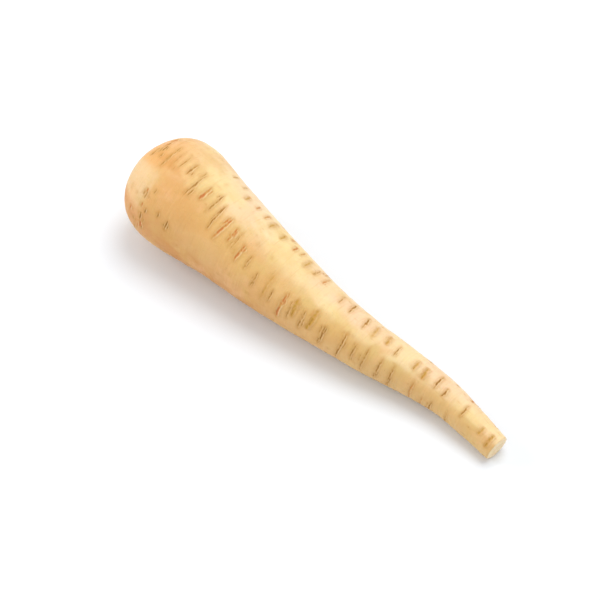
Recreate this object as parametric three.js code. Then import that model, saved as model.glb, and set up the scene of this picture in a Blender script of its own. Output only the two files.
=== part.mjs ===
// A parsnip as dug and trimmed: one tapering root with a hollow crown, the cut bases of its leaf
// stalks standing in that hollow, and the thin end of the root cut square.
//
// The root is drawn along its own length: x runs from the top of the crown towards the cut tip,
// y is sideways and z is up. At the end it is tipped until crown and tip both touch the ground.

import * as THREE from 'three';

// Driving dimensions, in millimetres, and angles in degrees where the name says so.
const ROOT_LENGTH = 230;
const SHOULDER_RADIUS = 27.6;
const CROWN_DEPTH = 25;
const CROWN_SQUARENESS = 2.15;
const TIP_EDGE = 0.7;

// Radius of the root at distances from the top of the crown, below the shoulder.
const TAPER = [
  [CROWN_DEPTH, SHOULDER_RADIUS],
  [36, 26.4],
  [54, 23.6],
  [80, 20.1],
  [108, 16.6],
  [136, 13.6],
  [165, 10.9],
  [192, 8.8],
  [218, 6.9],
  [ROOT_LENGTH, 6.2],
];

// Sideways wander of the root's centre line at the same kind of distances.
const WANDER = [
  [20, 0],
  [54, -0.5],
  [88, -1.1],
  [120, -0.3],
  [150, 2.6],
  [172, 5.9],
  [193, 8.0],
  [212, 7.1],
  [ROOT_LENGTH, 5.5],
];

// The section is a little oval, longest towards this bearing, counted from +y towards +z.
const OVAL_SHARE = 0.03;
const OVAL_BEARING_DEG = 30;

const HOLLOW_DEPTH = 4.4;
const HOLLOW_FLOOR_RADIUS = 6.9;
const HOLLOW_RIM_RADIUS = 10;

const STALK_GAP = 0.35;
const STALK_ROUNDING = 0.35;
const HEART_RADIUS = 1.6;
const HEART_TOP = -0.8;

// Each ring of leaf-stalk bases: how far from the middle its outer face stands, how thick a base
// is at its middle and at its edges, the bearing of the first base, and where each top ends.
const STALK_RINGS = [
  {
    name: 'inner',
    outerRadius: 3.75,
    thick: 1.7,
    thin: 0.9,
    spanDeg: 96,
    firstDeg: 20,
    tops: [-0.5, 0.2, -0.1],
  },
  {
    name: 'outer',
    outerRadius: 6.4,
    thick: 2.1,
    thin: 1.0,
    spanDeg: 58,
    firstDeg: 62,
    tops: [0.9, 0.3, 1.2, 0.5, 1.5],
  },
];

// Fineness of the faceted surface.
const AROUND = 40;
const CROWN_STEPS = 12;
const HOLLOW_STEPS = 4;
const BODY_STEPS = 36;
const STALK_ARC_STEPS = 8;

function slopeAt(pairs, index) {
  if (index === 0) return 0;
  const before = pairs[index - 1];
  const after = pairs[Math.min(index + 1, pairs.length - 1)];
  return (after[1] - before[1]) / (after[0] - before[0]);
}

// A smooth value through [distance, value] pairs: level at the first pair, and held before it.
function smoothAt(pairs, distance) {
  let index = 0;
  while (index < pairs.length - 2 && distance > pairs[index + 1][0]) index += 1;
  const [start, startValue] = pairs[index];
  const [end, endValue] = pairs[index + 1];
  const span = end - start;
  const u = THREE.MathUtils.clamp((distance - start) / span, 0, 1);
  const bend = u * u * (3 - 2 * u);
  const leave = slopeAt(pairs, index) * span * u * (1 - u) * (1 - u);
  const arrive = slopeAt(pairs, index + 1) * span * u * u * (1 - u);
  return startValue + (endValue - startValue) * bend + leave - arrive;
}

// How far the crown's surface lies below its top at a given radius, with the hollow sunk into it.
function crownDrop(radius) {
  const share = Math.min(radius / SHOULDER_RADIUS, 1);
  const dome = CROWN_DEPTH * (1 - (1 - share ** CROWN_SQUARENESS) ** (1 / CROWN_SQUARENESS));
  const inHollow = 1 - THREE.MathUtils.smoothstep(radius, HOLLOW_FLOOR_RADIUS, HOLLOW_RIM_RADIUS);
  return dome + HOLLOW_DEPTH * inHollow;
}

// Half outline of the root, from the hollow's middle over the shoulder to the middle of the cut tip.
function rootOutline() {
  const outline = [new THREE.Vector2(0, crownDrop(0))];
  for (let i = 0; i <= HOLLOW_STEPS; i += 1) {
    const radius = THREE.MathUtils.lerp(HOLLOW_FLOOR_RADIUS, HOLLOW_RIM_RADIUS, i / HOLLOW_STEPS);
    outline.push(new THREE.Vector2(radius, crownDrop(radius)));
  }
  const rimAngle = Math.asin((HOLLOW_RIM_RADIUS / SHOULDER_RADIUS) ** (CROWN_SQUARENESS / 2));
  for (let i = 1; i < CROWN_STEPS; i += 1) {
    const angle = THREE.MathUtils.lerp(rimAngle, Math.PI / 2, i / CROWN_STEPS);
    const radius = SHOULDER_RADIUS * Math.sin(angle) ** (2 / CROWN_SQUARENESS);
    outline.push(new THREE.Vector2(radius, crownDrop(radius)));
  }
  for (let i = 0; i <= BODY_STEPS; i += 1) {
    const distance = THREE.MathUtils.lerp(CROWN_DEPTH, ROOT_LENGTH - TIP_EDGE, i / BODY_STEPS);
    outline.push(new THREE.Vector2(smoothAt(TAPER, distance), distance));
  }
  outline.push(new THREE.Vector2(smoothAt(TAPER, ROOT_LENGTH) - TIP_EDGE, ROOT_LENGTH));
  outline.push(new THREE.Vector2(0, ROOT_LENGTH));
  return outline;
}

// Radius of the section towards a bearing, as a share of its mean radius.
function sectionShare(bearing) {
  const fromLongAxis = bearing - THREE.MathUtils.degToRad(OVAL_BEARING_DEG);
  return 1 + OVAL_SHARE * Math.cos(2 * fromLongAxis);
}

// Moves a lathe-turned shape onto the root's wandering centre line: the lathe's y is the distance
// from the top of the crown, and each section stands square to the centre line.
function bendAlongRoot(geometry) {
  const position = geometry.attributes.position;
  const nudge = 1;
  for (let i = 0; i < position.count; i += 1) {
    const distance = position.getY(i);
    const radius = Math.hypot(position.getX(i), position.getZ(i));
    const bearing = Math.atan2(position.getX(i), position.getZ(i));
    const rise = smoothAt(WANDER, distance + nudge) - smoothAt(WANDER, distance - nudge);
    const turn = Math.atan2(rise, 2 * nudge);
    const reach = radius * sectionShare(bearing);
    const sideways = reach * Math.cos(bearing);
    position.setXYZ(
      i,
      distance - sideways * Math.sin(turn),
      smoothAt(WANDER, distance) + sideways * Math.cos(turn),
      reach * Math.sin(bearing),
    );
  }
  geometry.computeVertexNormals();
  return geometry;
}

function taprootGeometry() {
  const halfFacet = Math.PI / AROUND;
  return bendAlongRoot(new THREE.LatheGeometry(rootOutline(), AROUND, halfFacet));
}

// Turns a shape drawn flat and extruded along z so that it stands in the hollow: its far end lies
// just above the hollow's floor and its near end at the given top.
function standInHollow(shape, top) {
  const geometry = new THREE.ExtrudeGeometry(shape, {
    depth: HOLLOW_DEPTH - STALK_GAP - top - 2 * STALK_ROUNDING,
    bevelEnabled: true,
    bevelThickness: STALK_ROUNDING,
    bevelSize: STALK_ROUNDING,
    bevelOffset: -STALK_ROUNDING,
    bevelSegments: 1,
  });
  geometry.translate(0, 0, top + STALK_ROUNDING);
  const drawnToRoot = new THREE.Matrix4().makeBasis(
    new THREE.Vector3(0, 1, 0),
    new THREE.Vector3(0, 0, 1),
    new THREE.Vector3(1, 0, 0),
  );
  geometry.applyMatrix4(drawnToRoot);
  return geometry;
}

function heartShape() {
  const shape = new THREE.Shape();
  shape.absarc(0, 0, HEART_RADIUS, 0, 2 * Math.PI);
  return shape;
}

// A crescent around the middle of the hollow, thick at its middle and thin at its two edges.
function stalkShape(ring, middleDeg) {
  const half = THREE.MathUtils.degToRad(ring.spanDeg / 2);
  const middle = THREE.MathUtils.degToRad(middleDeg);
  const outer = [];
  const inner = [];
  for (let i = 0; i <= STALK_ARC_STEPS; i += 1) {
    const along = THREE.MathUtils.lerp(-1, 1, i / STALK_ARC_STEPS);
    const bearing = middle + along * half;
    const thickness = THREE.MathUtils.lerp(ring.thick, ring.thin, along * along);
    const outward = new THREE.Vector2(Math.cos(bearing), Math.sin(bearing));
    outer.push(outward.clone().multiplyScalar(ring.outerRadius));
    inner.unshift(outward.clone().multiplyScalar(ring.outerRadius - thickness));
  }
  return new THREE.Shape([...outer, ...inner]);
}

function material(color, roughness) {
  return new THREE.MeshStandardMaterial({ color, roughness, metalness: 0 });
}

function namedMesh(name, geometry, finish) {
  const mesh = new THREE.Mesh(geometry, finish);
  mesh.name = name;
  return mesh;
}

function stalkBases() {
  const heart = standInHollow(heartShape(), HEART_TOP);
  const meshes = [namedMesh('heart_stalk', heart, material('#9a7748', 0.8))];
  for (const ring of STALK_RINGS) {
    ring.tops.forEach((top, index) => {
      const middleDeg = ring.firstDeg + (index * 360) / ring.tops.length;
      const stalk = standInHollow(stalkShape(ring, middleDeg), top);
      const name = `${ring.name}_leaf_stalk_${index + 1}`;
      meshes.push(namedMesh(name, stalk, material('#7d5a35', 0.85)));
    });
  }
  return meshes;
}

// How steeply the centre line must fall towards the tip for the underside to rest on the shoulder
// and on the tip together, found from the line that touches both ends of the lower outline.
function restingPitch() {
  const below = sectionShare(-Math.PI / 2);
  const shoulder = { distance: CROWN_DEPTH, radius: SHOULDER_RADIUS * below };
  const tipStart = ROOT_LENGTH - TIP_EDGE;
  const tip = { distance: tipStart, radius: smoothAt(TAPER, tipStart) * below };
  return Math.atan2(shoulder.radius - tip.radius, tip.distance - shoulder.distance);
}

// Lays the parsnip down: tipped to its resting pitch, lowest point at height zero, and the middle
// of its box over the origin.
function layDown(meshes) {
  const parsnip = new THREE.Group();
  parsnip.add(...meshes);
  parsnip.rotation.y = restingPitch();
  const box = new THREE.Box3().setFromObject(parsnip, true);
  const centre = box.getCenter(new THREE.Vector3());
  parsnip.position.set(-centre.x, -centre.y, -box.min.z);
  return parsnip;
}

const taproot = namedMesh('taproot', taprootGeometry(), material('#e2ba7c', 0.5));

export default layDown([taproot, ...stalkBases()]);
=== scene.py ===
import math
import random

import bmesh
import bpy
import numpy as np
from mathutils import Matrix, Vector, noise


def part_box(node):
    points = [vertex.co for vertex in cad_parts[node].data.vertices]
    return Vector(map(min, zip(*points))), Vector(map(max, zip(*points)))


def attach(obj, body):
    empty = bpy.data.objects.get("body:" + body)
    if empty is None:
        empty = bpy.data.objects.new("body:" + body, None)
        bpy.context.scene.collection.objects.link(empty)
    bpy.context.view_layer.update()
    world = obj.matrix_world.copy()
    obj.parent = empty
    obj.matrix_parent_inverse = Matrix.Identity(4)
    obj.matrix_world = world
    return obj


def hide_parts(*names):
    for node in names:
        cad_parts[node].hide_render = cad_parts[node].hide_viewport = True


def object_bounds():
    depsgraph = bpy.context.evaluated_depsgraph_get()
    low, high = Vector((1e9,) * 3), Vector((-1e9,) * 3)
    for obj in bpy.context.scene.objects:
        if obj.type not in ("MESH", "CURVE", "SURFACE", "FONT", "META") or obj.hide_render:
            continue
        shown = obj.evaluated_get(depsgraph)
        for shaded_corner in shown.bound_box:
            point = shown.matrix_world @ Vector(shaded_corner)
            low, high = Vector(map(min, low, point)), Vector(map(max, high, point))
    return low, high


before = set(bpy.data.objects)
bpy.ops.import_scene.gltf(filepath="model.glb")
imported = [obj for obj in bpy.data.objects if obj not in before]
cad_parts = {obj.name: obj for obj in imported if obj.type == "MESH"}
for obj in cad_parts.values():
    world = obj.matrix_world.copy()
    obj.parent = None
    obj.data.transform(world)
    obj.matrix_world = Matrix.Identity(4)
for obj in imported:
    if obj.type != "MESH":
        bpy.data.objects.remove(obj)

cad_low, cad_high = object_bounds()
MM = 0.001


# ---- The root ------------------------------------------------------------------------------------
# The swollen taproot: one solid of crisp cream flesh under a thin skin, widest at the shoulder and
# drawn out to a long tail that wanders to one side. It was washed, and its thin end was cut square.

ROOT_LENGTH = 230.0
SHOULDER_RADIUS = 27.6
CROWN_DEPTH = 25.0
CROWN_SQUARENESS = 2.15
TIP_EDGE = 0.7
TIP_ROUNDING = 1.2
TIP_DOME = 0.25
HOLLOW_DEPTH = 4.4
HOLLOW_FLOOR_RADIUS = 6.9
HOLLOW_RIM_RADIUS = 10.0
OVAL_SHARE = 0.03
OVAL_BEARING = math.radians(30)

# Radius, and sideways wander of the centre line, at distances from the top of the crown, in mm.
TAPER = [
    (CROWN_DEPTH, SHOULDER_RADIUS), (36, 26.4), (54, 23.6), (80, 20.1), (108, 16.6),
    (136, 13.6), (165, 10.9), (192, 8.8), (218, 6.9), (ROOT_LENGTH, 6.2),
]
WANDER = [
    (20, 0), (54, -0.5), (88, -1.1), (120, -0.3), (150, 2.6),
    (172, 5.9), (193, 8.0), (212, 7.1), (ROOT_LENGTH, 5.5),
]

AROUND = 132
BODY_RING_STEP = 0.34
CROWN_RINGS = 60
HOLLOW_RINGS = 14
FLOOR_RINGS = 14
TIP_RINGS = 10


def smooth_at(pairs, distance):
    """A smooth value through (distance, value) pairs: level at the first pair, and held before it."""
    stations = [pair[0] for pair in pairs]
    values = [pair[1] for pair in pairs]
    last = len(pairs) - 1
    slopes = [0.0]
    for i in range(1, last + 1):
        after = min(i + 1, last)
        slopes.append((values[after] - values[i - 1]) / (stations[after] - stations[i - 1]))
    distance = np.asarray(distance, float)
    index = np.clip(np.searchsorted(stations, distance, side="left") - 1, 0, last - 1)
    start, end = np.take(stations, index), np.take(stations, index + 1)
    start_value, end_value = np.take(values, index), np.take(values, index + 1)
    span = end - start
    u = np.clip((distance - start) / span, 0, 1)
    eased = u * u * (3 - 2 * u)
    leave = np.take(slopes, index) * span * u * (1 - u) ** 2
    arrive = np.take(slopes, index + 1) * span * u * u * (1 - u)
    return start_value + (end_value - start_value) * eased + leave - arrive


def smoothstep(low, high, value):
    u = np.clip((value - low) / (high - low), 0, 1)
    return u * u * (3 - 2 * u)


def crown_drop(radius):
    """How far the crown's surface lies below its top, with the hollow sunk into it."""
    share = min(radius / SHOULDER_RADIUS, 1.0)
    dome = CROWN_DEPTH * (1 - (1 - share ** CROWN_SQUARENESS) ** (1 / CROWN_SQUARENESS))
    in_hollow = 1 - float(smoothstep(HOLLOW_FLOOR_RADIUS, HOLLOW_RIM_RADIUS, radius))
    return dome + HOLLOW_DEPTH * in_hollow


def root_outline():
    """(distance, radius) along the half outline, from the hollow's middle to the cut tip's middle."""
    outline = [(crown_drop(0.0), 0.0)]
    for i in range(1, FLOOR_RINGS):
        radius = HOLLOW_FLOOR_RADIUS * i / FLOOR_RINGS
        outline.append((crown_drop(radius), radius))
    for i in range(HOLLOW_RINGS + 1):
        rim_width = HOLLOW_RIM_RADIUS - HOLLOW_FLOOR_RADIUS
        radius = HOLLOW_FLOOR_RADIUS + rim_width * i / HOLLOW_RINGS
        outline.append((crown_drop(radius), radius))
    rim_angle = math.asin((HOLLOW_RIM_RADIUS / SHOULDER_RADIUS) ** (CROWN_SQUARENESS / 2))
    for i in range(1, CROWN_RINGS):
        angle = rim_angle + (math.pi / 2 - rim_angle) * i / CROWN_RINGS
        radius = SHOULDER_RADIUS * math.sin(angle) ** (2 / CROWN_SQUARENESS)
        outline.append((crown_drop(radius), radius))
    body_length = ROOT_LENGTH - TIP_DOME - TIP_EDGE - CROWN_DEPTH
    body_rings = round(body_length / BODY_RING_STEP)
    distances = CROWN_DEPTH + body_length * np.arange(body_rings + 1) / body_rings
    outline.extend(zip(distances.tolist(), smooth_at(TAPER, distances).tolist()))
    tip_radius = float(smooth_at(TAPER, ROOT_LENGTH))
    for i in range(1, TIP_RINGS + 1):
        angle = math.pi / 2 * i / TIP_RINGS
        outline.append((
            ROOT_LENGTH - TIP_DOME - TIP_EDGE * (1 - math.sin(angle)),
            tip_radius - TIP_ROUNDING * (1 - math.cos(angle)),
        ))
    for i in reversed(range(TIP_RINGS)):
        share = i / TIP_RINGS
        outline.append((ROOT_LENGTH - TIP_DOME * share * share, (tip_radius - TIP_ROUNDING) * share))
    return outline


def spun_root():
    """The outline turned once about its own length, as a mesh in millimetres, unbent."""
    bm = bmesh.new()
    chain = [bm.verts.new((distance, radius, 0)) for distance, radius in root_outline()]
    edges = [bm.edges.new(pair) for pair in zip(chain, chain[1:])]
    bmesh.ops.spin(
        bm, geom=chain + edges, cent=(0, 0, 0), axis=(1, 0, 0), dvec=(0, 0, 0),
        angle=math.tau, steps=AROUND, use_merge=True,
    )
    bmesh.ops.remove_doubles(bm, verts=bm.verts, dist=0.0005)
    bmesh.ops.recalc_face_normals(bm, faces=bm.faces)
    mesh = bpy.data.meshes.new("taproot_skin")
    bm.to_mesh(mesh)
    bm.free()
    return mesh


def read_points(mesh):
    points = np.empty(len(mesh.vertices) * 3, np.float32)
    mesh.vertices.foreach_get("co", points)
    return points.reshape(-1, 3).astype(float)


def write_points(mesh, points):
    mesh.vertices.foreach_set("co", points.astype(np.float32).ravel())
    mesh.update()


def read_normals(mesh):
    normals = np.empty(len(mesh.vertices) * 3, np.float32)
    mesh.vertices.foreach_get("normal", normals)
    return normals.reshape(-1, 3).astype(float)


def bent(distance, radius, bearing):
    """Points of a section, made a little oval and stood square to the wandering centre line."""
    reach = radius * (1 + OVAL_SHARE * np.cos(2 * (bearing - OVAL_BEARING)))
    rise = smooth_at(WANDER, distance + 1) - smooth_at(WANDER, distance - 1)
    turn = np.arctan2(rise, 2)
    sideways = reach * np.cos(bearing)
    return np.stack([
        distance - sideways * np.sin(turn),
        smooth_at(WANDER, distance) + sideways * np.cos(turn),
        reach * np.sin(bearing),
    ], axis=1)


skin_mesh = spun_root()
flat_points = read_points(skin_mesh)
along = flat_points[:, 0]
radius_there = np.hypot(flat_points[:, 1], flat_points[:, 2])
bearing = np.arctan2(flat_points[:, 2], flat_points[:, 1])
root_points = bent(along, radius_there, bearing)
write_points(skin_mesh, root_points)


# ---- Scars and wrinkles of the skin --------------------------------------------------------------
# Hair roots grew out of the taproot in long rows that wind slowly round it. Washing took the hairs
# and left cross slits and corky lens-shaped scars, darkest in the slit, with slightly raised lips.

# Each scar: distance from the crown's top in mm, the bearings in degrees between which it runs round
# the root (0 is the side the tail bends to, 90 on top, 180 the side in view), strength, and tone:
# 0 a brown slit, 1 ochre cork, 2 reddish.
BROWN, OCHRE, REDDISH = 0, 1, 2

# The two rows in view and a short one at the tail: (distance, bearing) where each row passes, then
# the least and most mm from one scar to the next, and the least and most mm of a scar's length.
FACING_PATH = ((10, 85), (50, 95), (100, 145), (160, 160), (205, 195))
FACING_SPACING = (3.5, 8.0)
FACING_LENGTHS = (8, 17)
UPPER_PATH = ((45, 48), (80, 52), (130, 60), (170, 85), (228, 120))
UPPER_SPACING = (3.5, 9.0)
UPPER_LENGTHS = (4, 9)
TAIL_PATH = ((180, 40), (225, 35))
TAIL_SPACING = (6.0, 12.0)
TAIL_LENGTHS = (2, 4)
MOSTLY_BROWN = (BROWN,) * 7 + (OCHRE, REDDISH, REDDISH)
CORKY = (BROWN, BROWN, BROWN, OCHRE, OCHRE, REDDISH, REDDISH)

# Two wide cork scars stand out on the lower body, and one dark slit lies by itself near the crown.
LONE_SCARS = [(115, 120, 160, 1.2, OCHRE), (125, 115, 160, 1.4, OCHRE), (40, 150, 165, 1.1, BROWN)]

# Small marks in clusters: how many, the distance and bearing they gather round, and how far they
# stray from it in mm and in degrees.
RIM_CLUSTER = (13, 12, 82, 3, 9)
CORNER_CLUSTER = (12, 22, 178, 4, 7)
PATCH_CLUSTER = (7, 24, 140, 5, 9)

# Half the width of each tone's scar, in mm, and how deep its slit and how high its lips are.
SCAR_HALF_WIDTHS = (0.36, 0.66, 0.50)
SLIT_DEPTHS = (0.21, 0.12, 0.15)
LIP_HEIGHT = 0.10
FARTHEST_REACH = 7

# A long scar is a bundle of short slits, one for so many mm of its length.
MM_PER_STRAND = 3.6
STRONGEST_STRAND = 1.3

# The rows out of sight: the bearing each starts from, and how many degrees it turns in each mm.
HIDDEN_ROWS = ((-42, 0.2), (-92, 0.15), (5, 0.03), (-128, -0.02))
HALF_SPANS = (4, 9, 15, 20)

# From this distance on the scars of a row stand further apart, so many times as far.
THIN_PART = 110
THINNING = 1.5
HIDDEN_THINNING = 1.4

CROWN_LINE_COUNT = 16
FRECKLE_COUNT = 190
GROWTH_SEED = 1741

crown_pairs = [
    (distance, radius) for distance, radius in root_outline()
    if radius >= HOLLOW_RIM_RADIUS and distance <= CROWN_DEPTH
]
crown_stations, crown_radii = zip(*crown_pairs)


def radius_at(distance):
    """Mean radius of the root at a distance from the top of the crown."""
    if distance < CROWN_DEPTH:
        return float(np.interp(distance, crown_stations, crown_radii))
    return float(smooth_at(TAPER, distance))


def winding_row(draw, path, spacing, lengths, tones):
    """Cross scars, so many mm apart and so many mm long, along a row that passes those places."""
    stations, bearings = zip(*path)
    scars = []
    distance = stations[0] + draw.uniform(0, 3)
    while distance < stations[-1]:
        middle = float(np.interp(distance, stations, bearings)) + draw.gauss(0, 4)
        half = math.degrees(draw.uniform(*lengths) / radius_at(distance)) / 2
        strength = draw.uniform(0.6, 1.1)
        tone = draw.choice(tones)
        scars.append((distance, middle - half, middle + half, strength, tone))
        distance += draw.uniform(*spacing) * (THINNING if distance > THIN_PART else 1.0)
    return scars


def cluster(draw, count, distance, middle, stray_mm, stray_degrees):
    """A scatter of small marks about one place."""
    marks = []
    for _ in range(count):
        start = middle + draw.gauss(0, stray_degrees)
        width = draw.uniform(5, 10)
        tone = draw.choice((BROWN, BROWN, REDDISH))
        place = distance + draw.gauss(0, stray_mm)
        strength = draw.uniform(0.7, 1.3)
        marks.append((place, start, start + width, strength, tone))
    return marks


def hidden_rows(draw):
    """Scars of the rows on the underside and the far side, and faint lines round the crown there."""
    scars = []
    for first_bearing, twist in HIDDEN_ROWS:
        distance = 14.0 + draw.uniform(0, 8)
        while distance < ROOT_LENGTH - 6:
            tone = draw.choice((BROWN, BROWN, BROWN, BROWN, OCHRE, REDDISH))
            middle = first_bearing + twist * distance + draw.gauss(0, 8)
            half = draw.choice(HALF_SPANS) * draw.uniform(0.8, 1.2)
            scars.append((distance, middle - half, middle + half, draw.uniform(0.3, 1.0), tone))
            distance += draw.uniform(3.5, 9.0) * (HIDDEN_THINNING if distance > THIN_PART else 1.0)
    for _ in range(CROWN_LINE_COUNT):
        start = draw.uniform(195, 400)
        span = draw.uniform(18, 60)
        scars.append((draw.uniform(2.6, 22), start, start + span, draw.uniform(0.25, 0.6), BROWN))
    return scars


def strands(scars, draw, scatter=0.85):
    """The short slits that lie end over end and side by side along each long scar."""
    slits = []
    for distance, start, end, strength, tone in scars:
        arc = radius_at(distance) * math.radians(end - start)
        if arc < MM_PER_STRAND:
            continue
        for _ in range(round(arc / MM_PER_STRAND) + draw.choice((1, 2))):
            share = draw.uniform(0.2, 0.55)
            slide = draw.uniform(-0.08, 1.08 - share)
            slits.append((
                distance + draw.gauss(0, scatter * (0.5 if tone == OCHRE else 1)),
                start + (end - start) * slide,
                start + (end - start) * (slide + share),
                min(strength, STRONGEST_STRAND) * draw.uniform(0.4, 0.9),
                tone,
            ))
    return slits


def freckles(draw, count):
    """Small faint dashes and dots all over the skin."""
    dashes = []
    for _ in range(count):
        distance = draw.uniform(6, ROOT_LENGTH - 3)
        start = draw.uniform(-180, 180)
        width = draw.uniform(2, 9)
        strength = draw.uniform(0.15, 0.5)
        tone = draw.choice((BROWN, BROWN, OCHRE, REDDISH))
        dashes.append((distance, start, start + width, strength, tone))
    return dashes


def scarred(scars, draw):
    """At every point: the height in mm, the three tone masks, the mask of the lips' painted
    highlight, and the bruise mask.
    """
    height = np.zeros(len(along))
    tones = np.zeros((len(along), 3))
    lips = np.zeros(len(along))
    bruise = np.zeros(len(along))
    for distance, start, end, strength, tone in scars:
        middle = math.radians((start + end) / 2)
        half = radius_at(distance) * math.radians(end - start) / 2
        turn = np.arctan2(np.sin(bearing - middle), np.cos(bearing - middle))
        round_mm = turn * radius_at(distance)
        near = (np.abs(along - distance) < FARTHEST_REACH) & (np.abs(round_mm) < half * 1.3 + 0.5)
        s = round_mm[near]
        u = np.abs(s) / half

        # A wavering line round the root. Scars that lie close together lean the same way.
        phase = draw.uniform(0, math.tau)
        tilt = 0.14 * noise.noise((distance * 0.1, middle * 0.4, 3.0)) + draw.gauss(0, 0.015)
        path = distance + tilt * s
        path = path + 0.15 * np.sin(s * 0.6 + phase) + 0.09 * np.sin(s * 1.9 + 2 * phase)

        # The slit: widest at its middle, gone at its ends, and broken here and there.
        taper = np.sqrt(np.clip(1 - u * u, 0, 1))
        ends = 1 - smoothstep(0.6, 1.08, u)
        spread = SCAR_HALF_WIDTHS[tone] * (0.6 + 0.4 * strength) * (0.22 + 0.78 * taper ** 1.4)
        off = (along[near] - path) / spread
        beat = 0.5 + 0.5 * np.sin(s * 1.7 + phase * 3) * np.cos(s * 0.8 + phase)
        broken = 0.25 + 0.75 * smoothstep(0.15, 0.65, beat)
        core = np.exp(-off * off) * ends * broken
        tones[near, tone] = np.maximum(tones[near, tone], strength * core)
        if tone == OCHRE:
            dark_end = smoothstep(-0.4, 0.9, s / half)
            slit = np.exp(-(off * 2.6) ** 2) * ends * broken * (0.45 + 0.55 * dark_end)
            tones[near, BROWN] = np.maximum(tones[near, BROWN], 0.85 * min(strength, 1.2) * slit)

        # A raised lip on both sides, higher towards the tail, painted pale as a highlight, and a wide
        # bruise under it all.
        lip_here = np.exp(-((np.abs(off) - 1.9) / 0.9) ** 2) * ends * np.where(off > 0, 1.0, 0.6)
        pale = min(strength, 1) * (0.45 if tone == OCHRE else 0.9)
        lips[near] = np.maximum(lips[near], pale * lip_here)
        wide = (along[near] - path) / (spread * 2.6 + 0.6)
        tanned = min(strength, 1) * np.exp(-wide * wide) * (1 - smoothstep(0.7, 1.3, u))
        bruise[near] = np.maximum(bruise[near], tanned)
        height[near] += min(strength, 1) * (LIP_HEIGHT * lip_here - SLIT_DEPTHS[tone] * core)
    return height, tones, lips, bruise


def swells():
    """Broad bulges, waists and faint rings of uneven growth, in mm."""
    height = np.empty(len(root_points))
    for i, (x, y, z) in enumerate(root_points.tolist()):
        broad = noise.noise((x * 0.028, y * 0.045, z * 0.045 + 5.0))
        middling = noise.noise((x * 0.085, y * 0.06 + 9.0, z * 0.06))
        rings = noise.noise((x * 0.42, y * 0.035, z * 0.035 + 20.0))
        height[i] = 0.55 * broad + 0.24 * middling + 0.11 * rings
    return height


draw = random.Random(GROWTH_SEED)
facing_row = winding_row(draw, FACING_PATH, FACING_SPACING, FACING_LENGTHS, MOSTLY_BROWN) + LONE_SCARS
upper_row = winding_row(draw, UPPER_PATH, UPPER_SPACING, UPPER_LENGTHS, CORKY)
upper_row += winding_row(draw, TAIL_PATH, TAIL_SPACING, TAIL_LENGTHS, CORKY)
marks = cluster(draw, *RIM_CLUSTER) + cluster(draw, *CORNER_CLUSTER) + cluster(draw, *PATCH_CLUSTER)
under = hidden_rows(draw)
all_scars = facing_row + upper_row + marks + under + freckles(draw, FRECKLE_COUNT)
all_scars += strands(facing_row + marks + under, draw) + strands(upper_row, draw, scatter=0.4)
scar_height, scar_tones, lip_highlights, scar_bruise = scarred(all_scars, draw)

# The hollow and the cut face are their own surfaces: no root scars there.
on_crown = along < CROWN_DEPTH
in_hollow = (1 - smoothstep(HOLLOW_FLOOR_RADIUS, HOLLOW_RIM_RADIUS + 1.5, radius_there)) * on_crown
cut_face = smoothstep(ROOT_LENGTH - 0.85, ROOT_LENGTH - 0.4, along)
on_skin = (1 - in_hollow) * (1 - cut_face)

# Old leaf bases left shallow steps round the rim of the hollow, and dried to lumps inside it.
STEP_HEIGHT = 0.18
STEPS_MIDDLE = 12.5
STEPS_REACH = 3.4
step_wave = np.sin(radius_there * 2.1 + 0.8 * np.sin(3 * bearing))
step_share = np.exp(-((radius_there - STEPS_MIDDLE) / STEPS_REACH) ** 2) * on_crown
crown_steps = STEP_HEIGHT * step_wave * step_share
hollow_lumps = np.array([
    0.42 * noise.noise((0.0, y * 0.45, z * 0.45)) + 0.2 * noise.noise((4.0, y * 1.3, z * 1.3))
    for _, y, z in root_points.tolist()
])

height = (swells() + scar_height) * on_skin
height += crown_steps * (1 - in_hollow) + hollow_lumps * in_hollow
root_points = root_points + read_normals(skin_mesh) * height[:, None]


# ---- Laying the root down ------------------------------------------------------------------------
# The parsnip lies on its side, tipped so that its shoulder and the end of its tail both touch what
# it lies on. Its place is taken from the frame.

def tipped(points):
    """Points turned about the sideways axis to the slope at which shoulder and tail both touch."""
    below = 1 + OVAL_SHARE * math.cos(2 * (-math.pi / 2 - OVAL_BEARING))
    tail_start = ROOT_LENGTH - TIP_EDGE
    fall = (SHOULDER_RADIUS - float(smooth_at(TAPER, tail_start))) * below
    pitch = math.atan2(fall, tail_start - CROWN_DEPTH)
    return points @ np.array(Matrix.Rotation(pitch, 3, "Y")).T


node_low, node_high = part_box("taproot")
tipped_root = tipped(root_points) * MM
shift = np.array([
    node_high.x - tipped_root[:, 0].max(),
    (node_low.y + node_high.y - tipped_root[:, 1].max() - tipped_root[:, 1].min()) / 2,
    node_low.z - tipped_root[:, 2].min(),
])


def laid_down(points):
    """Points of the level drawing, in mm, where they come to lie in the frame, in metres."""
    return tipped(points) * MM + shift


write_points(skin_mesh, laid_down(root_points))


def paint(mesh, name, values):
    """Stores up to three masks at each point, for the material to read by name."""
    colour = mesh.attributes.new(name, "FLOAT_COLOR", "POINT")
    filled = np.ones((len(mesh.vertices), 4), np.float32)
    filled[:, :3] = values
    colour.data.foreach_set("color", filled.ravel())


def band(values, rising, falling):
    """1 between two edges: eases up over the first pair of values and down over the second."""
    return smoothstep(*rising, values) * (1 - smoothstep(*falling, values))


def spot(middle, width, distance, length):
    """A soft round spot on the skin, by its bearing and width in degrees and its place in mm."""
    return np.exp(-((turned - middle) / width) ** 2 - ((along - distance) / length) ** 2)
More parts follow.
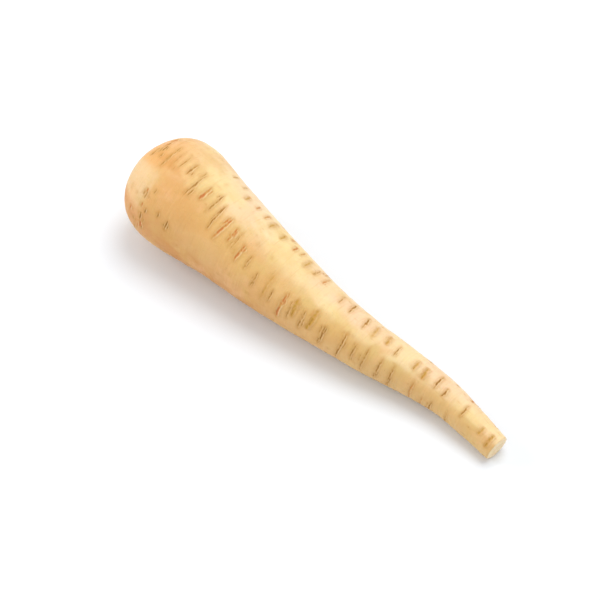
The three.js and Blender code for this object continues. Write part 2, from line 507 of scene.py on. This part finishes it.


# Where the skin's colour changes, in mm from the crown's top and degrees of bearing: the tan side,
# partly its own tone and partly painted shade; the pale patch of the crown, a painted highlight; the
# orange rim of the crown; the orange corner of the crown and the deep orange below the shoulder, both
# painted shade with warm reflected light; the paler upper side of the tail, a painted highlight; and
# the yellow band that runs beside the facing row of scars.
turned = np.degrees(bearing) % 360
# The tan side, turned from the key light, is partly the skin's own tan and partly painted shade.
side_edge = 104 + 16 * smoothstep(110, 160, along) - 8 * smoothstep(195, 225, along)
softness = 38 - 16 * smoothstep(90, 160, along)
tan_and_shade_side = smoothstep(-1, 1, (turned - side_edge) / softness) * (1 - smoothstep(285, 335, turned))
# A painted highlight: the pale patch where the crown's shoulder catches the fill light.
painted_highlight_patch = (1 - smoothstep(20, 27, along)) * band(turned, (106, 122), (150, 170))
# A painted highlight: the paler, whiter upper side of the tail.
painted_highlight_tail = 0.4 * smoothstep(80, 150, along) * (1 - tan_and_shade_side)
warm_rim = (1 - smoothstep(8, 80, along)) * (1 - 0.9 * painted_highlight_patch)
# Painted shade with warm reflected light: the orange band low on the crown's side.
painted_shade_corner = band(turned, (140, 172), (205, 250)) * (1 - smoothstep(14, 42, along))
# Painted shade and warm reflected light: the deep orange low on the side, below the shoulder.
deep_shade_side = band(turned, (130, 205), (230, 290)) * band(along, (15, 40), (70, 140))
row_bearing = np.interp(along, (20, 60, 100, 150, 200, 230), (92, 96, 112, 118, 108, 104))
row_tint = np.exp(-((turned - row_bearing) / 24) ** 2) * smoothstep(12, 50, along)
rim_tint = spot(84, 26, 10, 8) + spot(96, 9, 17, 8) + spot(103, 11, 25, 8)
rim_stain = np.exp(-((radius_there - HOLLOW_RIM_RADIUS - 1) / 3.0) ** 2) * on_crown

# The cut end shows a faint ring, with slightly darker flesh inside it.
CUT_RING_RADIUS = 3.3
CUT_RING_WIDTH = 0.55
CUT_RING_SHARE = 0.55
CUT_CORE_SHARE = 0.35
CUT_CORE_EDGE = 0.8
cut_core = 1 - smoothstep(CUT_RING_RADIUS - CUT_CORE_EDGE, CUT_RING_RADIUS, radius_there)
cut_ring = CUT_RING_SHARE * np.exp(-((radius_there - CUT_RING_RADIUS) / CUT_RING_WIDTH) ** 2)
cut_ring = cut_ring + CUT_CORE_SHARE * cut_core
unused = np.zeros(len(along))

paint(skin_mesh, "row", np.stack([row_tint, cut_ring, unused], axis=1))
# The crown's masks: the painted highlight patch, the rim's tint, and the painted shade of its corner.
paint(skin_mesh, "crown", np.stack([painted_highlight_patch, rim_tint, painted_shade_corner], axis=1))
paint(skin_mesh, "scars", scar_tones * on_skin[:, None])
# The edges: the lips' painted highlight, the bruise, and the tan side, which is partly painted shade.
paint(skin_mesh, "edges", np.stack([lip_highlights * on_skin, scar_bruise * on_skin, tan_and_shade_side], axis=1))
# The zones: the tail's painted highlight, the warm rim, and the painted shade low on the side.
paint(skin_mesh, "zones", np.stack([painted_highlight_tail, warm_rim, deep_shade_side], axis=1))
paint(skin_mesh, "places", np.stack([in_hollow, cut_face, rim_stain], axis=1))


# ---- Skin ----------------------------------------------------------------------------------------
# Thin waxy skin over pale flesh: cream on the upper side and tan on the side turned from the key
# light, partly its own tone and partly painted shade; deeper orange painted shade low on the side in
# view and at the crown's lower corner; painted highlights on the crown, the tail's upper side and the
# scars' lips; satin all over, with brown cork in the scars and bare damp flesh on the cut end.

def tint(code):
    """A material colour from the six-digit code that a paint chart gives."""
    parts = [int(code[i:i + 2], 16) / 255 for i in (1, 3, 5)]
    return [c / 12.92 if c <= 0.04045 else ((c + 0.055) / 1.055) ** 2.4 for c in parts] + [1.0]


class Finish:
    """A material with its node tree, and short ways to add nodes to it."""

    def __init__(self, name):
        self.material = bpy.data.materials.new(name)
        self.material.use_nodes = True
        self.tree = self.material.node_tree
        self.shader = self.tree.nodes["Principled BSDF"]
        self.place = self.add("ShaderNodeTexCoord").outputs["Object"]

    def add(self, kind, **settings):
        node = self.tree.nodes.new(kind)
        for key, value in settings.items():
            setattr(node, key, value)
        return node

    def link(self, source, target):
        self.tree.links.new(source, target)

    def feed(self, socket, value):
        if isinstance(value, bpy.types.NodeSocket):
            self.link(value, socket)
        else:
            socket.default_value = value

    def along_root(self):
        """Place along the frame's x, which is the way the root lies, in metres."""
        split = self.add("ShaderNodeSeparateXYZ")
        self.link(self.place, split.inputs["Vector"])
        return split.outputs["X"]

    def noise(self, scale, detail, roughness, stretch=(1, 1, 1), distortion=0.0, offset=(0, 0, 0)):
        """Clouds of so many to the metre. A stretch over 1 squeezes them along that axis."""
        mapping = self.add("ShaderNodeMapping")
        mapping.inputs["Scale"].default_value = stretch
        mapping.inputs["Location"].default_value = offset
        self.link(self.place, mapping.inputs["Vector"])
        node = self.add("ShaderNodeTexNoise")
        node.inputs["Scale"].default_value = scale
        node.inputs["Detail"].default_value = detail
        node.inputs["Roughness"].default_value = roughness
        node.inputs["Distortion"].default_value = distortion
        self.link(mapping.outputs["Vector"], node.inputs["Vector"])
        return node.outputs["Fac"]

    def ramp(self, value, low, high, start=0.0, end=1.0):
        """The value eased from start at the low mark to end at the high mark."""
        node = self.add("ShaderNodeMapRange", interpolation_type="SMOOTHSTEP")
        self.link(value, node.inputs["Value"])
        node.inputs["From Min"].default_value = low
        node.inputs["From Max"].default_value = high
        node.inputs["To Min"].default_value = start
        node.inputs["To Max"].default_value = end
        return node.outputs["Result"]

    def math(self, operation, a, b):
        node = self.add("ShaderNodeMath", operation=operation)
        self.feed(node.inputs[0], a)
        self.feed(node.inputs[1], b)
        return node.outputs["Value"]

    def mix(self, share, a, b):
        node = self.add("ShaderNodeMix", data_type="RGBA")
        self.feed(node.inputs["Factor"], share)
        self.feed(node.inputs["A"], a)
        self.feed(node.inputs["B"], b)
        return node.outputs["Result"]

    def coat(self, colour, mask, share, code):
        """A tint laid over a colour wherever the mask is, to the given share."""
        return self.mix(self.math("MULTIPLY", mask, share), colour, tint(code))

    def masks(self, name):
        """The three masks that are stored at each point under this name."""
        attribute = self.add("ShaderNodeAttribute", attribute_name=name)
        split = self.add("ShaderNodeSeparateColor")
        self.link(attribute.outputs["Color"], split.inputs["Color"])
        return split.outputs["Red"], split.outputs["Green"], split.outputs["Blue"]

    def bump(self, height, distance, under=None):
        node = self.add("ShaderNodeBump")
        node.inputs["Distance"].default_value = distance
        self.link(height, node.inputs["Height"])
        if under is not None:
            self.link(under, node.inputs["Normal"])
        return node.outputs["Normal"]


def skin_ground(skin, side, waver):
    """The cream side and the tan side, which is partly painted shade, each mottled, with the warmer
    parts of both, painted shade low on the side and at the crown's corner, and painted highlights on
    the crown's pale patch and the tail's upper side.
    """
    painted_highlight_tail, warm_rim, deep_shade_side = skin.masks("zones")
    painted_highlight_patch, rim_tint, shaded_corner = skin.masks("crown")
    row_tint = skin.masks("row")[0]
    drift = skin.ramp(skin.noise(24, 3, 0.5, stretch=(0.6, 1, 1)), 0.36, 0.66)
    cream = skin.mix(drift, tint("#e9cc9d"), tint("#e4c08c"))
    tan = skin.mix(drift, tint("#e3b472"), tint("#d9a560"))
    tail = skin.ramp(skin.along_root(), -0.01, 0.07)
    tan = skin.coat(tan, tail, 0.6, "#dfba7c")
    # Tan on the side turned from the key light: partly the skin's own tone, partly painted shade.
    colour = skin.mix(side, cream, tan)
    colour = skin.coat(colour, warm_rim, 0.6, "#e3a964")
    # Painted highlight along the tail's upper side.
    colour = skin.mix(painted_highlight_tail, colour, tint("#f2d1a6"))
    # Deep orange painted shade with warm reflected light, low on the side below the shoulder.
    colour = skin.coat(colour, deep_shade_side, 0.85, "#c68238")

    patchy = skin.ramp(skin.noise(75, 3, 0.5, offset=(2, 9, 5)), 0.36, 0.62, 0.05, 0.85)
    colour = skin.coat(colour, row_tint, patchy, "#dcba74")
    colour = skin.coat(colour, rim_tint, 0.5, "#d79a55")
    # Painted shade with warm reflected light at the crown's lower corner.
    colour = skin.coat(colour, shaded_corner, 0.85, "#cb8745")
    # The pale patch on the crown is a painted highlight, given a ragged edge.
    ragged_highlight = skin.math("ADD", painted_highlight_patch, skin.math("MULTIPLY", waver, 0.8))
    return skin.mix(skin.ramp(ragged_highlight, 0.0, 1.0, 0.0, 0.9), colour, tint("#e1bc88"))


def skin_blotches(skin, colour, side):
    """Cream, olive, peach, rosy and yellow blotches, then fine cross streaks and specks."""
    warm_rim = skin.masks("zones")[1]
    rim = skin.masks("places")[2]
    cloud = skin.ramp(skin.noise(48, 4, 0.55, stretch=(0.7, 1, 1), offset=(6, 3, 8)), 0.44, 0.64)
    colour = skin.coat(colour, cloud, skin.ramp(side, 0.0, 1.0, 0.65, 0.12), "#f3dba8")
    blotch = skin.noise(90, 4, 0.6, stretch=(0.8, 1, 1), distortion=0.4, offset=(3, 1, 2))
    colour = skin.coat(colour, skin.ramp(blotch, 0.46, 0.70), 0.42, "#dcb56a")
    peach = skin.ramp(skin.noise(70, 4, 0.6, offset=(9, 4, 2)), 0.50, 0.72)
    colour = skin.coat(colour, peach, 0.40, "#eebb88")
    rosy = skin.ramp(skin.noise(38, 3, 0.5, stretch=(0.7, 1, 1), offset=(5, 8, 1)), 0.47, 0.62)
    rosy = skin.math("MULTIPLY", rosy, skin.ramp(side, 0.0, 0.8, 0.42, 0.0))
    colour = skin.coat(colour, rosy, skin.ramp(warm_rim, 0.0, 0.6, 1.0, 0.0), "#f5d2b4")
    lemon = skin.ramp(skin.noise(46, 3, 0.5, stretch=(0.8, 1, 1), offset=(7, 2, 6)), 0.50, 0.64)
    colour = skin.coat(colour, lemon, skin.ramp(side, 0.0, 0.8, 0.36, 0.0), "#f2d894")
    streak = skin.noise(260, 5, 0.6, stretch=(3.4, 0.35, 0.35), offset=(1, 7, 4))
    colour = skin.coat(colour, skin.ramp(streak, 0.5, 0.78), 0.30, "#cf9a58")
    speck = skin.ramp(skin.noise(900, 2, 0.5, offset=(5, 5, 5)), 0.70, 0.78)
    colour = skin.coat(colour, speck, 0.35, "#a97a42")
    stain = skin.ramp(skin.noise(160, 3, 0.6, offset=(2, 0, 9)), 0.3, 0.7, 0.2, 0.8)
    return skin.coat(colour, rim, stain, "#c98a48")


def scar_colours(skin, colour):
    """Bruise, a pale painted highlight on the raised lips, then cork and slits: fine noise makes the
    smooth masks' edges ragged.
    """
    scars = skin.masks("scars")
    lips, bruise, _ = skin.masks("edges")
    rag = skin.noise(800, 4, 0.7, stretch=(1.5, 0.8, 0.8))
    brown, ochre, reddish = [
        skin.math("SUBTRACT", mask, skin.math("MULTIPLY", rag, share))
        for mask, share in zip(scars, (0.60, 0.30, 0.50))
    ]
    colour = skin.coat(colour, bruise, skin.ramp(rag, 0.3, 0.7, 0.45, 0.9), "#c0893a")
    for mask, low, high, share, code in (
        # The pale lips are a painted highlight, where the raised lips catch the key light.
        (lips, 0.15, 0.9, 0.42, "#f5dbae"),
        (ochre, -0.1, 0.95, 0.85, "#c39739"),
        (reddish, -0.18, 0.22, 0.70, "#cc8c42"),
        (reddish, 0.18, 0.60, 0.75, "#c06328"),
        (brown, -0.20, 0.30, 0.80, "#b38136"),
        (brown, 0.20, 0.62, 0.80, "#935f1d"),
    ):
        colour = skin.mix(skin.ramp(mask, low, high, 0.0, share), colour, tint(code))
    return colour


def bare_ends(skin, colour):
    """The hollow is brown and dry, and the cut end is bare flesh."""
    hollow, cut, _ = skin.masks("places")
    crust = skin.ramp(skin.noise(420, 4, 0.6), 0.35, 0.65)
    colour = skin.mix(hollow, colour, skin.mix(crust, tint("#6f4a27"), tint("#b98a52")))
    flesh = skin.mix(skin.noise(300, 3, 0.6), tint("#fbe6bd"), tint("#f2d5a4"))
    ring_breaks = skin.ramp(skin.noise(900, 3, 0.6), 0.35, 0.65, 0.5, 0.9)
    flesh = skin.coat(flesh, skin.masks("row")[1], ring_breaks, "#dfb878")
    return skin.mix(cut, colour, flesh)


def skin_surface(skin):
    """A waxy sheen that the scars and the hollow lack, over grain, cross wrinkles and dimples."""
    brown, ochre, _ = skin.masks("scars")
    hollow = skin.masks("places")[0]
    dull = skin.math("MAXIMUM", brown, skin.math("MAXIMUM", ochre, hollow))
    sheen = skin.ramp(skin.noise(120, 4, 0.6, offset=(8, 8, 1)), 0.3, 0.7, 0.42, 0.56)
    roughness = skin.math("ADD", sheen, skin.math("MULTIPLY", dull, 0.25))
    skin.link(roughness, skin.shader.inputs["Roughness"])
    grain = skin.bump(skin.noise(1500, 4, 0.6), 0.06 * MM)
    cross = skin.bump(skin.noise(300, 4, 0.6, stretch=(4.0, 0.3, 0.3)), 0.28 * MM, under=grain)
    dimples = skin.bump(skin.noise(420, 2, 0.5, offset=(4, 2, 6)), 0.22 * MM, under=cross)
    skin.link(dimples, skin.shader.inputs["Normal"])
    skin.shader.inputs["Specular IOR Level"].default_value = 0.36
    skin.shader.inputs["Subsurface Weight"].default_value = 0.12
    skin.shader.inputs["Subsurface Radius"].default_value = (1.0, 0.55, 0.25)
    skin.shader.inputs["Subsurface Scale"].default_value = 2 * MM


def skin_finish():
    skin = Finish("parsnip_skin")
    # The side mask: tan, partly painted shade, where the root turns from the key light.
    tan_and_shade_side = skin.masks("edges")[2]
    waver = skin.math("SUBTRACT", skin.noise(60, 4, 0.6, offset=(0, 2, 2)), 0.5)
    waver = skin.math("MULTIPLY", waver, 0.6)
    side = skin.ramp(skin.math("ADD", tan_and_shade_side, waver), 0.06, 0.94)
    colour = skin_ground(skin, side, waver)
    colour = skin_blotches(skin, colour, side)
    colour = scar_colours(skin, colour)
    colour = bare_ends(skin, colour)
    skin.link(colour, skin.shader.inputs["Base Color"])
    skin_surface(skin)
    return skin.material


def as_piece(mesh, name, material, slot, *nodes):
    """A finished piece of the parsnip that stands for its plain solids in the frame."""
    piece = bpy.data.objects.new(name, mesh)
    bpy.context.scene.collection.objects.link(piece)
    mesh.materials.append(material)
    mesh.shade_smooth()
    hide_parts(*nodes)
    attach(piece, "root")
    return piece


as_piece(skin_mesh, "taproot_skin", skin_finish(), "skin", "taproot")


# ---- Leaf-stalk bases ----------------------------------------------------------------------------
# The leaves were cut off low. What is left of each stalk is a brown, ribbed, crescent-shaped sheath
# standing in the hollow, in two rings round the dried heart of the leaf bud, all grown from the root.

STALK_ROOTING = 0.25
HEART_RADIUS = 1.6
HEART_TOP = -0.8
STALK_RINGS = [
    {"name": "inner", "outer": 3.75, "thick": 1.7, "thin": 0.9, "span": 96, "first": 20,
     "tops": (-0.5, 0.2, -0.1)},
    {"name": "outer", "outer": 6.4, "thick": 2.1, "thin": 1.0, "span": 58, "first": 62,
     "tops": (0.9, 0.3, 1.2, 0.5, 1.5)},
]
SHEATH_COLUMNS = 40
SHEATH_ROWS = 6
SHEATH_LAYERS = 14
HEART_COLUMNS = 14
HEART_LAYERS = 10
RIB_SPACING = 0.75


def block_of_layers(bm, columns, rows, layers):
    """A unit block of quads: a flat grid from -1 to 1, raised in layers from 0 to 1."""
    grid = bmesh.ops.create_grid(bm, x_segments=columns, y_segments=rows, size=1)
    faces = list({face for vert in grid["verts"] for face in vert.link_faces})
    for layer in range(layers):
        raised = bmesh.ops.extrude_face_region(bm, geom=faces, use_keep_orig=layer == 0)
        lifted = [item for item in raised["geom"] if isinstance(item, bmesh.types.BMVert)]
        faces = [item for item in raised["geom"] if isinstance(item, bmesh.types.BMFace)]
        bmesh.ops.translate(bm, verts=lifted, vec=(0, 0, 1 / layers))
    bmesh.ops.recalc_face_normals(bm, faces=bm.faces)


def shaped_mesh(bm, name, shape):
    """The bmesh as a mesh, with every point put through a shape that returns places in the root."""
    points = np.array([shape(*vert.co) for vert in bm.verts])
    mesh = bpy.data.meshes.new(name)
    bm.to_mesh(mesh)
    bm.free()
    write_points(mesh, laid_down(points))
    return mesh


def sheath_mesh(ring, middle_deg, top, seed):
    """One sheath: a crescent, torn unevenly along its top, with ribs down both faces. Its shape
    runs from -1 to 1 round the crescent (u) and through it (v), and from 0 to 1 in height."""
    half = math.radians(ring["span"] / 2)
    arc = half * ring["outer"]
    foot = HOLLOW_DEPTH + STALK_ROOTING

    def shape(u, v, level):
        outward = 1 if v > 0 else -1
        thickness = ring["thick"] + (ring["thin"] - ring["thick"]) * u * u
        depth = 0.5 - 0.5 * v
        rounding = 0.22 * abs(v) ** 6 * level ** 4
        torn = 0.55 * noise.noise((u * 2.2, v * 1.3, seed))
        torn += 0.3 * noise.noise((u * 7.0, v * 3.0, seed + 3))
        lowest_lip = 0.35 * u ** 4 + 0.25 * (1 - v * v)
        tip = top + 0.25 + max(0.0, torn + lowest_lip)
        wave = math.cos(math.tau * u * arc / RIB_SPACING + seed)
        rib = 0.09 * wave * abs(v) + 0.10 * noise.noise((u * 5.0, level * 3.0 + v, seed + 6))
        lean = 0.175 * level * level * (1 - u * u)
        radius = ring["outer"] - thickness * depth + outward * (rib - rounding) + lean - 0.2
        bearing_here = math.radians(middle_deg) + u * half * (0.97 - 0.05 * level)
        bearing_here += 0.02 * noise.noise((level * 4.0, u, seed + 9))
        return (
            foot + (tip - foot) * level + rounding * 0.6,
            radius * math.cos(bearing_here),
            radius * math.sin(bearing_here),
        )

    bm = bmesh.new()
    block_of_layers(bm, SHEATH_COLUMNS, SHEATH_ROWS, SHEATH_LAYERS)
    return shaped_mesh(bm, f"{ring['name']}_sheath", shape)


def heart_mesh():
    """The dried heart: a small blunt bud with folds that wind round it."""
    foot = HOLLOW_DEPTH + STALK_ROOTING

    def shape(x, y, level):
        reach = max(abs(x), abs(y))
        around = math.atan2(y, x)
        fold = 0.16 * math.sin(5 * around + 3 * level)
        fold += 0.12 * noise.noise((x * 3, y * 3, level * 3 + 8))
        radius = reach * HEART_RADIUS * (1 - 0.5 * level ** 3) * (1 + fold * reach)
        dome = 1.1 * (1 - reach * reach)
        tip = HEART_TOP + 0.9 - dome * 0.8 + 0.2 * noise.noise((x * 4, y * 4, 2))
        return (foot + (tip - foot) * level, radius * math.cos(around), radius * math.sin(around))

    bm = bmesh.new()
    block_of_layers(bm, HEART_COLUMNS, HEART_COLUMNS, HEART_LAYERS)
    return shaped_mesh(bm, "heart", shape)


def stalk_finish():
    """Dry sheath: brown fibres with paler, pinkish patches and a little grey-green mould."""
    stalk = Finish("dry_stalk")
    fibre = stalk.noise(900, 5, 0.65, stretch=(0.18, 1.5, 1.5))
    patch = stalk.ramp(stalk.noise(350, 4, 0.6, offset=(1, 3, 3)), 0.38, 0.66)
    colour = stalk.mix(stalk.ramp(fibre, 0.3, 0.7), tint("#4d2f18"), tint("#a3754a"))
    colour = stalk.coat(colour, patch, 0.6, "#b88662")
    mould = stalk.ramp(stalk.noise(520, 3, 0.6, offset=(7, 2, 5)), 0.60, 0.72)
    colour = stalk.coat(colour, mould, 0.5, "#6d6546")
    stalk.link(colour, stalk.shader.inputs["Base Color"])
    stalk.link(stalk.ramp(fibre, 0.3, 0.7, 0.9, 0.7), stalk.shader.inputs["Roughness"])
    stalk.link(stalk.bump(fibre, 0.25 * MM), stalk.shader.inputs["Normal"])
    stalk.shader.inputs["Specular IOR Level"].default_value = 0.25
    return stalk.material


dry_stalk = stalk_finish()
as_piece(heart_mesh(), "heart_bud", dry_stalk, "stalk", "heart_stalk")
for ring in STALK_RINGS:
    count = len(ring["tops"])
    for i, top in enumerate(ring["tops"]):
        middle_deg = ring["first"] + i * 360 / count
        sheath = sheath_mesh(ring, middle_deg, top, seed=10.0 * count + i * 1.7)
        name = f"{ring['name']}_leaf_stalk_{i + 1}"
        as_piece(sheath, f"{ring['name']}_sheath_{i + 1}", dry_stalk, "stalk", name)


# ---- Dry fibres ----------------------------------------------------------------------------------
# Between the sheaths and the rim lie the dried threads of older leaves: thin, curled and grey-green.
# Each is a fibre of leaf that is still rooted in the floor of the hollow.

FIBRE_COUNT = 26
FIBRE_SIDES = 6
FIBRE_STEPS = 9
FIBRE_FOOT = HOLLOW_DEPTH + 0.4


def across_root(distance, radius, around):
    """A point of the level drawing, from its distance along, its radius and its bearing."""
    return Vector((distance, radius * math.cos(around), radius * math.sin(around)))


def fibre_mesh(draw):
    """All the threads as one mesh, each a small ring drawn out along a curl and closed at its tip."""
    bm = bmesh.new()
    for i in range(FIBRE_COUNT):
        start_bearing = math.tau * i / FIBRE_COUNT + draw.uniform(-0.1, 0.1)
        start_radius = draw.uniform(6.9, 8.3)
        thickness = draw.uniform(0.10, 0.20)
        reach, rise, curl = draw.uniform(0.2, 1.3), draw.uniform(1.2, 2.9), draw.uniform(-0.35, 0.35)
        ring = bmesh.ops.create_circle(bm, cap_ends=True, segments=FIBRE_SIDES, radius=thickness)
        across = Matrix.Rotation(math.pi / 2, 3, "Y")
        bmesh.ops.rotate(bm, verts=ring["verts"], cent=(0, 0, 0), matrix=across)
        place = across_root(FIBRE_FOOT, start_radius, start_bearing)
        bmesh.ops.translate(bm, verts=ring["verts"], vec=place)
        faces = list({face for vert in ring["verts"] for face in vert.link_faces})
        for step in range(1, FIBRE_STEPS + 1):
            share = step / FIBRE_STEPS
            turn = start_bearing + curl * share * share
            radius = start_radius + reach * math.sin(share * math.pi / 2)
            next_place = across_root(FIBRE_FOOT - rise * math.sin(share * 2.0), radius, turn)
            raised = bmesh.ops.extrude_face_region(bm, geom=faces, use_keep_orig=step == 1)
            lifted = [item for item in raised["geom"] if isinstance(item, bmesh.types.BMVert)]
            faces = [item for item in raised["geom"] if isinstance(item, bmesh.types.BMFace)]
            bmesh.ops.translate(bm, verts=lifted, vec=next_place - place)
            shrink = 0.9 if step < FIBRE_STEPS else 0.4
            shrink_about = Matrix.Translation(-next_place)
            bmesh.ops.scale(bm, verts=lifted, vec=(shrink,) * 3, space=shrink_about)
            place = next_place
    bmesh.ops.recalc_face_normals(bm, faces=bm.faces)
    return shaped_mesh(bm, "dry_threads", lambda x, y, z: (x, y, z))


def fibre_finish():
    fibre = Finish("dry_thread")
    along_it = fibre.noise(700, 3, 0.6, stretch=(0.4, 1, 1))
    colour = fibre.mix(fibre.ramp(along_it, 0.35, 0.65), tint("#5f5231"), tint("#a08a58"))
    fibre.link(colour, fibre.shader.inputs["Base Color"])
    fibre.shader.inputs["Roughness"].default_value = 0.85
    fibre.link(fibre.bump(along_it, 0.15 * MM), fibre.shader.inputs["Normal"])
    return fibre.material


threads = bpy.data.objects.new("dry_threads", fibre_mesh(draw))
bpy.context.scene.collection.objects.link(threads)
threads.data.materials.append(fibre_finish())
threads.data.shade_smooth()
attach(threads, "root")


# ---- Studio --------------------------------------------------------------------------------------
# A plain pale floor under a broad soft light from behind and above, a soft fill from the crown's
# side, and a camera that looks down along the root with its tail coming forward.

FLOOR_SIZE = 6.0
VIEW_AZIMUTH = math.radians(43.7)
VIEW_ELEVATION = math.radians(53)
VIEW_DISTANCE = 0.824
LENS = 102
SENSOR_WIDTH = 36
WORLD_STRENGTH = 0.66


def studio_floor():
    bm = bmesh.new()
    bmesh.ops.create_grid(bm, x_segments=1, y_segments=1, size=FLOOR_SIZE / 2)
    mesh = bpy.data.meshes.new("floor")
    bm.to_mesh(mesh)
    bm.free()
    floor = bpy.data.objects.new("floor", mesh)
    floor.location.z = cad_low.z
    bpy.context.scene.collection.objects.link(floor)
    paper = Finish("floor_paper")
    paper.shader.inputs["Base Color"].default_value = tint("#eef3f9")
    paper.shader.inputs["Roughness"].default_value = 0.9
    mesh.materials.append(paper.material)


def aimed(thing, place, target):
    thing.location = place
    thing.rotation_euler = (target - place).to_track_quat("-Z", "Y").to_euler()
    bpy.context.scene.collection.objects.link(thing)


def soft_light(name, place, target, size, watts, colour):
    lamp = bpy.data.lights.new(name, "AREA")
    lamp.shape = "DISK"
    lamp.size = size
    lamp.energy = watts
    lamp.color = colour
    aimed(bpy.data.objects.new(name, lamp), Vector(place), target)


studio_floor()
middle = (cad_low + cad_high) / 2
soft_light("key", (0.05, 0.38, 0.97), middle, 0.85, 6.5, (1.0, 0.985, 0.96))
soft_light("fill", (-0.75, -0.45, 0.45), middle, 0.6, 3.5, (1.0, 0.98, 0.95))
world = bpy.data.worlds.new("studio")
world.use_nodes = True
world.node_tree.nodes["Background"].inputs["Color"].default_value = (0.985, 0.99, 1.0, 1)
world.node_tree.nodes["Background"].inputs["Strength"].default_value = WORLD_STRENGTH
bpy.context.scene.world = world
bpy.context.scene.view_settings.view_transform = "Standard"

camera = bpy.data.cameras.new("camera")
camera.lens = LENS
camera.sensor_width = SENSOR_WIDTH
camera.clip_start = 0.01
view_back = Vector((
    math.sin(VIEW_AZIMUTH) * math.cos(VIEW_ELEVATION),
    -math.cos(VIEW_AZIMUTH) * math.cos(VIEW_ELEVATION),
    math.sin(VIEW_ELEVATION),
))
looked_at = Vector((-0.006, 0.0, 0.015))
eye = looked_at + view_back * VIEW_DISTANCE
camera_object = bpy.data.objects.new("camera", camera)
aimed(camera_object, eye, looked_at)
bpy.context.scene.camera = camera_object
